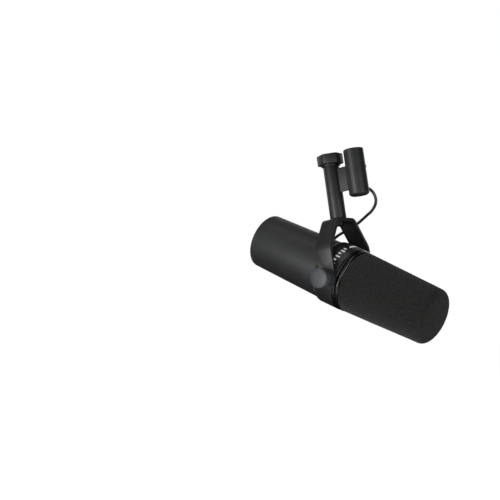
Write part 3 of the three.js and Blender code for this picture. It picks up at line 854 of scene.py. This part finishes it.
# ---------- pivot ----------
def make_pivot_side(side, where):
    low, high = span(f"knob_{side}", where)
    r = reach(f"knob_{side}", where)
    neck = 6.4
    rim = high.z - 6.1
    crown = high.z - 1.3
    outline = [
        (0, high.z - 3), (2.9, high.z - 3), (2.9, low.z), (neck, low.z), (neck, rim - 1),
        (r - 0.6, rim), (r, rim + 0.7), (r, crown),
    ]
    dome = [(r * math.cos(a), crown + (high.z - crown) * math.sin(a)) for a in quarter(16, 1)]
    knob = turned(soften(outline, 0.35, closed=False) + dome, closed=False)
    piece(f"clamp_knob_{side}", knob, where, f"{side}_knob", "knob_grey", [f"knob_{side}"])
    for node, name, slot in ((f"pivot_washer_{side}", "spacer", "black_plastic"),
                             (f"outer_washer_{side}", "friction_washer", "rubber_black")):
        low, high = span(node, where)
        outline = [(STUD_HOLE, low.z), (reach(node, where), low.z),
                   (reach(node, where), high.z), (STUD_HOLE, high.z)]
        piece(f"{name}_{side}", turned(soften(outline, 0.25)), where, "hanger", slot, [node])
    low, high = span(f"stud_{side}", where)
    r = reach(f"stud_{side}", where)
    outline = [(0, low.z), (r - 0.4, low.z), (r, low.z + 0.4), (r, high.z), (0, high.z)]
    piece(f"pivot_stud_{side}", turned(outline, 48, closed=False), where, f"{side}_knob", "steel",
          [f"stud_{side}"])


make_pivot_side("far", FAR_SIDE)
make_pivot_side("near", NEAR_SIDE)


# ---------- head shells ----------
SEAT_RADIUS = 7.9


def seat_cutters():
    """Discs that cut the collar's flat seats, in the head's frame."""
    seat = 27.4
    tools = []
    for sign in (1, -1):
        tool = rod(SEAT_RADIUS, seat, seat + 5, 96)
        tool.transform(Matrix.Rotation(sign * math.pi / 2, 4, "Y"))
        tools.append(tool)
    return tools


def make_can():
    low, high = span("rear_can", HEAD)
    rear = reach("rear_can", HEAD, low.z + 0.8, low.z + 2)
    front = reach("rear_can", HEAD, high.z - 1, high.z)
    wall = 1.6
    outline = [(rear - wall, low.z), (rear, low.z), (front, high.z), (front - wall, high.z)]
    can = turned(soften(outline, 0.9, steps=6), 144)
    hole_at = HEAD.inverted() @ middle("head_grommet") / MM
    lift = math.atan2(hole_at.y, hole_at.x)
    hole = rod(1.9, 20, 32, 32)
    hole.transform(Matrix.Translation((0, 0, hole_at.z)) @ Matrix.Rotation(lift, 4, "Z")
                   @ Matrix.Rotation(math.pi / 2, 4, "Y"))
    piece("can_shell", boolean(can, "DIFFERENCE", hole), HEAD, "head", "can_grey", ["rear_can"])
    bush = turned(soften([(0, 24), (1.6, 24), (1.6, 26.9), (2.7, 26.9), (2.6, 27.5), (1.9, 28.3),
                          (0, 28.3)], 0.2, closed=False), 40, closed=False)
    bush.transform(Matrix.Translation((0, 0, hole_at.z)) @ Matrix.Rotation(lift, 4, "Z")
                   @ Matrix.Rotation(math.pi / 2, 4, "Y"))
    piece("entry_bush", bush, HEAD, "head", "rubber_black", ["head_grommet"])


def make_collar():
    low, high = span("front_collar", HEAD)
    r = reach("front_collar", HEAD)
    can = reach("rear_can", HEAD)
    bore = 24
    outline = [
        (bore, low.z), (can, low.z), (can + 0.4, low.z + 0.7), (r - 0.3, low.z + 2.6),
        (r, low.z + 3.6), (r, high.z), (bore, high.z),
    ]
    collar = turned(soften(outline, 0.35), 192)
    bush_hole = rod(5.3, -40, 40, 48)
    bush_hole.transform(Matrix.Rotation(math.pi / 2, 4, "Y"))
    collar = boolean(collar, "DIFFERENCE", *seat_cutters(), bush_hole)
    piece("collar_shell", collar, HEAD, "head", "satin_black", ["front_collar"])


def make_rings():
    low, high = span("lip_ring", HEAD)
    r = reach("lip_ring", HEAD)
    outline = [(24.3, low.z), (r - 0.4, low.z), (r, low.z + 0.6), (r - 0.3, low.z + 1.5),
               (r - 1.4, low.z + 2.0), (24.3, high.z)]
    lip = boolean(turned(soften(outline, 0.35), 192), "DIFFERENCE", *seat_cutters())
    piece("lip", lip, HEAD, "head", "gloss_black", ["lip_ring"])
    low, high = span("clamp_ring", HEAD)
    r = reach("clamp_ring", HEAD)
    bore = 22.7
    outline = [(bore, low.z), (r - 1.1, low.z), (r - 0.2, low.z + 0.6), (r, low.z + 1.5),
               (r - 0.3, low.z + 2.5), (r - 1.3, high.z), (bore, high.z)]
    piece("foam_clamp", turned(soften(outline, 0.4), 192), HEAD, "head", "gloss_black",
          ["clamp_ring"])


def strip_on_collar(r, start, end, low, high, steps=6, oval=False):
    """A thin white patch that follows the collar, between two angles and two stations. It draws print, and also
    the painted highlight on the collar's top.
    """
    lift = 0.04
    centre, half = (low + high) / 2, (high - low) / 2
    bm = bmesh.new()
    grid = []
    for k in range(steps + 1):
        angle = math.radians(start + (end - start) * k / steps)
        column = []
        off_middle = abs(2 * k / steps - 1) ** 3
        tall = half * math.sqrt(max(1 - off_middle, 0.02)) if oval else half
        low, high = centre - tall, centre + tall
        for radius, z in ((r - lift, low), (r + lift, low), (r + lift, high), (r - lift, high)):
            column.append(bm.verts.new((radius * math.cos(angle), radius * math.sin(angle), z)))
        grid.append(column)
    for a, b in zip(grid, grid[1:]):
        for k in range(4):
            m = (k + 1) % 4
            bm.faces.new((a[k], a[m], b[m], b[k]))
    bm.faces.new(grid[0])
    bm.faces.new(grid[-1][::-1])
    bmesh.ops.recalc_face_normals(bm, faces=bm.faces)
    return bm


def make_marks():
    """Plain index bars printed round the top of the collar, and one oval white patch that is a painted highlight
    on the collar's top. All take the print's finish, with its painted glow.
    """
    low, high = span("front_collar", HEAD)
    r = reach("front_collar", HEAD)
    # painted highlight: this oval white patch stands in for a glint on the collar's top
    marks_and_painted_highlight = [strip_on_collar(r, 69, 106, high.z - 8.8, high.z - 5.8, 24, oval=True)]
    base = high.z - 9.8
    for i in range(6):
        angle = 115 + i * 7.6
        tall = 4.0 if i % 2 else 2.8
        marks_and_painted_highlight.append(strip_on_collar(r, angle - 1.7, angle + 1.7, base, base + tall))
    piece("index_marks_and_painted_highlight", joined(*marks_and_painted_highlight), HEAD, "head", None, finish=PRINT_WITH_PAINTED_GLOW)


def make_windscreen():
    low, high = span("windscreen", HEAD)
    base = reach("windscreen", HEAD, low.z, low.z + 2)
    tip = reach("windscreen", HEAD, high.z - 8, high.z - 6)
    bore = 22.8
    bore_end = 86.5
    edge = 6.0
    crown = 0.8
    rows = [(bore, bore_end - (bore_end - low.z) * k / 12) for k in range(13)]
    rows += [(base - 0.9, low.z), (base - 0.3, low.z + 0.25), (base, low.z + 0.9)]
    side_end = high.z - crown - edge
    rows += [(base + (tip - base) * k / 70, low.z + 0.9 + (side_end - low.z - 0.9) * k / 70)
             for k in range(1, 71)]
    rows += [(tip - edge + edge * math.cos(a), side_end + edge * math.sin(a))
             for a in quarter(12, 1)]
    rows += [((tip - edge) * (1 - k / 16), high.z - crown + crown * math.sin(math.pi / 2 * k / 16))
             for k in range(1, 17)]
    foam = turned([(0, bore_end), *rows], 256, closed=False)
    for vertex in foam.verts:
        on_outside = vertex.co.xy.length > bore + 1.5 or vertex.co.z > bore_end + 2
        if on_outside:
            slow = noise.noise(vertex.co * 0.06)
            fine = noise.noise(vertex.co * 0.55)
            fizz = noise.noise(vertex.co * 1.6)
            vertex.co += vertex.normal * (0.16 * slow + 0.07 * fine + 0.06 * fizz - 0.05)
    obj = piece("foam_windscreen", foam, HEAD, "windscreen", "foam_black", ["windscreen"],
                crease=60)


def perforated(surface, columns, rows, hole=0.36):
    """A sheet of cells, each with a round hole, laid on surface(u, v), u and v from 0 to 1."""
    bm = bmesh.new()
    corners = [(0.5, 0.5), (0, 0.5), (-0.5, 0.5), (-0.5, 0), (-0.5, -0.5), (0, -0.5),
               (0.5, -0.5), (0.5, 0)]
    sides = len(corners)
    for row in range(rows):
        for column in range(columns):
            centre = Vector((column + 0.5 * (row % 2), row + 0.5))
            outer, inner = [], []
            for k, corner in enumerate(corners):
                angle = math.radians(45 + 45 * k)
                rim = centre + Vector((math.cos(angle), math.sin(angle))) * hole
                edge = centre + Vector(corner)
                outer.append(bm.verts.new(surface(edge.x / columns, edge.y / rows)))
                inner.append(bm.verts.new(surface(rim.x / columns, rim.y / rows)))
            for k in range(sides):
                m = (k + 1) % sides
                bm.faces.new((outer[k], outer[m], inner[m], inner[k]))
    bmesh.ops.remove_doubles(bm, verts=bm.verts, dist=1e-3)
    return bm


def make_cage():
    """Perforated steel cup under the foam: a side, a rolled edge, an end and a hub."""
    low, high = span("grille_cage", HEAD)
    r = reach("grille_cage", HEAD)
    hub = 6.0
    roll = 1.5
    wall = 0.6
    side_low = low.z + 2
    side_high = high.z - roll

    def side(u, v):
        angle = math.tau * u
        return (r * math.cos(angle), r * math.sin(angle), side_low + (side_high - side_low) * v)

    def end(u, v):
        angle = math.tau * u
        radius = (r - roll) + (hub - r + roll) * v
        return (radius * math.cos(angle), radius * math.sin(angle), high.z)

    holes = joined(perforated(side, 52, 27), perforated(end, 36, 6))
    bmesh.ops.solidify(holes, geom=holes.faces[:], thickness=wall)
    edge = [(r - roll + roll * math.cos(a), side_high + roll * math.sin(a)) for a in quarter(8)]
    inner_edge = [(x - wall * math.cos(a), z - wall * math.sin(a))
                  for (x, z), a in zip(edge, quarter(8))]
    rolled = turned(edge + inner_edge[::-1], 104)
    foot = turned([(r - wall, low.z), (r, low.z), (r, side_low), (r - wall, side_low)], 104)
    cap = turned(soften([(0, high.z - wall), (hub, high.z - wall), (hub, high.z), (0, high.z)],
                        0.2, closed=False), 72, closed=False)
    piece("foam_cage", joined(holes, rolled, foot, cap), HEAD, "head", "dark_steel",
          ["grille_cage"])
    gap = 0.5
    cloth = 0.5
    out = r - wall - gap
    top = high.z - wall - gap
    lining = turned(soften([(0, top), (out, top), (out, low.z + 0.5), (out - cloth, low.z + 0.5),
                            (out - cloth, top - cloth), (0, top - cloth)], 0.8, closed=False),
                    104, closed=False)
    piece("cage_cloth", lining, HEAD, "head", "foam_black")


# ---------- rear end ----------
def make_rear_plate():
    low, high = span("rear_plate", HEAD)
    r = reach("rear_plate", HEAD)
    disc = turned(soften([(0, low.z), (r - 2.2, low.z), (r - 2.0, low.z + 0.35),
                          (r - 1.2, low.z + 0.35), (r - 1.0, low.z), (r, low.z), (r, high.z),
                          (0, high.z)], 0.15, closed=False, steps=2), 144, closed=False)
    tools = []
    for side in ("near", "far"):
        body = centre_of(f"switch_body_{side}", HEAD)
        tools.append(block((6.8, 3.4, 8), (body.x, 0, low.z)))
        tools.append(block((9.6, 5.6, 0.7), (body.x, 0, low.z)))
        screw = centre_of(f"plate_screw_{side}", HEAD)
        hole = rod(1.4, low.z - 1, high.z + 1, 32)
        hole.transform(Matrix.Translation((screw.x, 0, 0)))
        tools.append(hole)
    plate = boolean(disc, "DIFFERENCE", *tools)
    piece("end_plate", plate, HEAD, "head", "satin_black", ["rear_plate"], finish=MATT_BLACK)


def make_slider(side):
    """Thumb piece of a slide switch, ridged across its travel."""
    low, high = span(f"slider_{side}", HEAD)
    centre = (low + high) / 2
    base = chamfer(block((high.x - low.x, high.y - low.y, high.z - low.z - 0.6),
                         (centre.x, 0, centre.z + 0.3)), 0.2)
    thumb = block((2, 2, 1.4), (centre.x, 0, low.z + 0.7))
    grooves = [block((0.35, 3, 0.7), (centre.x + offset, 0, low.z)) for offset in (-0.5, 0, 0.5)]
    thumb = chamfer(boolean(thumb, "DIFFERENCE", *grooves), 0.07, segments=2)
    piece(f"switch_thumb_{side}", joined(base, thumb), HEAD, f"{side}_slider", "black_plastic",
          [f"slider_{side}"])


def make_plate_screw(side):
    low, high = span(f"plate_screw_{side}", HEAD)
    centre = (low + high) / 2
    outline = [(0, low.z), (1.5, low.z), (2.15, low.z + 0.4), (2.3, low.z + 0.8),
               (2.3, low.z + 1.1), (1.1, low.z + 1.1), (1.1, high.z), (0, high.z)]
    screw = turned(soften(outline, 0.15, closed=False, steps=2), 48, closed=False)
    cross = [block((2.6, 0.55, 1.3), (0, 0, low.z)), block((0.55, 2.6, 1.3), (0, 0, low.z))]
    screw = boolean(screw, "DIFFERENCE", *cross)
    screw.transform(Matrix.Translation((centre.x, 0, 0)))
    piece(f"end_screw_{side}", screw, HEAD, "head", "steel", [f"plate_screw_{side}"])


def make_rear_marks():
    """Plain printed positions beside each switch: a flat line and a sloped one."""
    low, _ = span("rear_plate", HEAD)
    lift = low.z - 0.02
    strokes = []
    for side in ("near", "far"):
        body = centre_of(f"switch_body_{side}", HEAD)
        for sign, tilt in ((-1, 0), (1, 22)):
            stroke = block((3.0, 0.45, 0.06))
            stroke.transform(Matrix.Translation((body.x + sign * 2.4, 5.2, lift))
                             @ Matrix.Rotation(math.radians(tilt * sign), 4, "Z"))
            strokes.append(stroke)
    # the print's finish carries a painted glow
    piece("switch_marks", joined(*strokes), HEAD, "head", None, finish=PRINT_WITH_PAINTED_GLOW)


make_cage()
make_rear_plate()
make_rear_marks()
for place in ("near", "far"):
    make_slider(place)
    make_plate_screw(place)
make_can()
make_collar()
make_rings()
make_marks()
make_windscreen()


# ---------- what is left of the CAD nodes gets its slot's finish ----------
def dress_cad_nodes():
    slots = {part["node"]: part["material_slot"] for part in record["subparts"]}
    for name, obj in frame["nodes"].items():
        obj.data.materials.clear()
        obj.data.materials.append(FINISHES[slots[name]])


dress_cad_nodes()


# ---------- studio ----------
def make_floor():
    low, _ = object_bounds()
    bm = bmesh.new()
    bmesh.ops.create_grid(bm, x_segments=2, y_segments=2, size=30)
    floor = as_object(bm, "floor")
    floor.location.z = low.z - 0.12
    paper = Finish("paper", Roughness=0.9, Specular_IOR_Level=0.1)
    paper.colour(paper.ramp(paper.noise(3, 4), [(0.2, 0.90), (0.8, 0.93)]))
    paper.bump(paper.noise(400, 3), 0.05, 0.0002)
    paper.shader.inputs["Emission Color"].default_value = (1, 1, 1, 1)
    paper.shader.inputs["Emission Strength"].default_value = 1.0
    floor.data.materials.append(paper.material)
    floor.visible_diffuse = False
    floor.visible_glossy = False
    floor.visible_shadow = False


def make_sky():
    """A plain white surround, seen by the camera only, so the softboxes shape the light."""
    world = bpy.data.worlds.new("studio")
    scene.world = world
    world.use_nodes = True
    world.node_tree.nodes["Background"].inputs["Color"].default_value = (1, 1, 1, 1)
    world.cycles_visibility.diffuse = False
    world.cycles_visibility.glossy = False


def softbox(name, bearing, elevation, distance, width, height, power):
    """An area light aimed at the tilt axis. Its bearing is measured from the camera's, leftward."""
    a = AZIMUTH - math.radians(bearing)
    e = math.radians(elevation)
    back = Vector((math.sin(a) * math.cos(e), -math.cos(a) * math.cos(e), math.sin(e)))
    data = bpy.data.lights.new(name, "AREA")
    data.shape = "RECTANGLE"
    data.size = width
    data.size_y = height
    data.energy = power
    light = bpy.data.objects.new(name, data)
    scene.collection.objects.link(light)
    light.location = PIVOT + back * distance
    light.rotation_euler = back.to_track_quat("Z", "Y").to_euler()
    light.visible_camera = False


make_floor()
make_sky()
softbox("key", 52, -4, 1.5, 0.9, 1.0, 16)
softbox("front", 8, -4, 1.6, 0.5, 1.0, 2.5)
softbox("right", -35, -10, 1.6, 1.0, 1.0, 8)
softbox("high_left", 60, 42, 1.5, 0.9, 0.9, 2)
softbox("behind", 186, 30, 1.6, 2.2, 1.4, 6)
softbox("side_behind", 135, 15, 1.5, 1.2, 1.2, 3)
softbox("far_behind", -145, 5, 1.6, 1.3, 1.3, 4)
softbox("top", 0, 78, 1.5, 1.0, 1.0, 4)
softbox("under", -48, -52, 1.5, 0.8, 0.8, 7)
softbox("low_left", 38, -48, 1.5, 0.8, 0.8, 3)
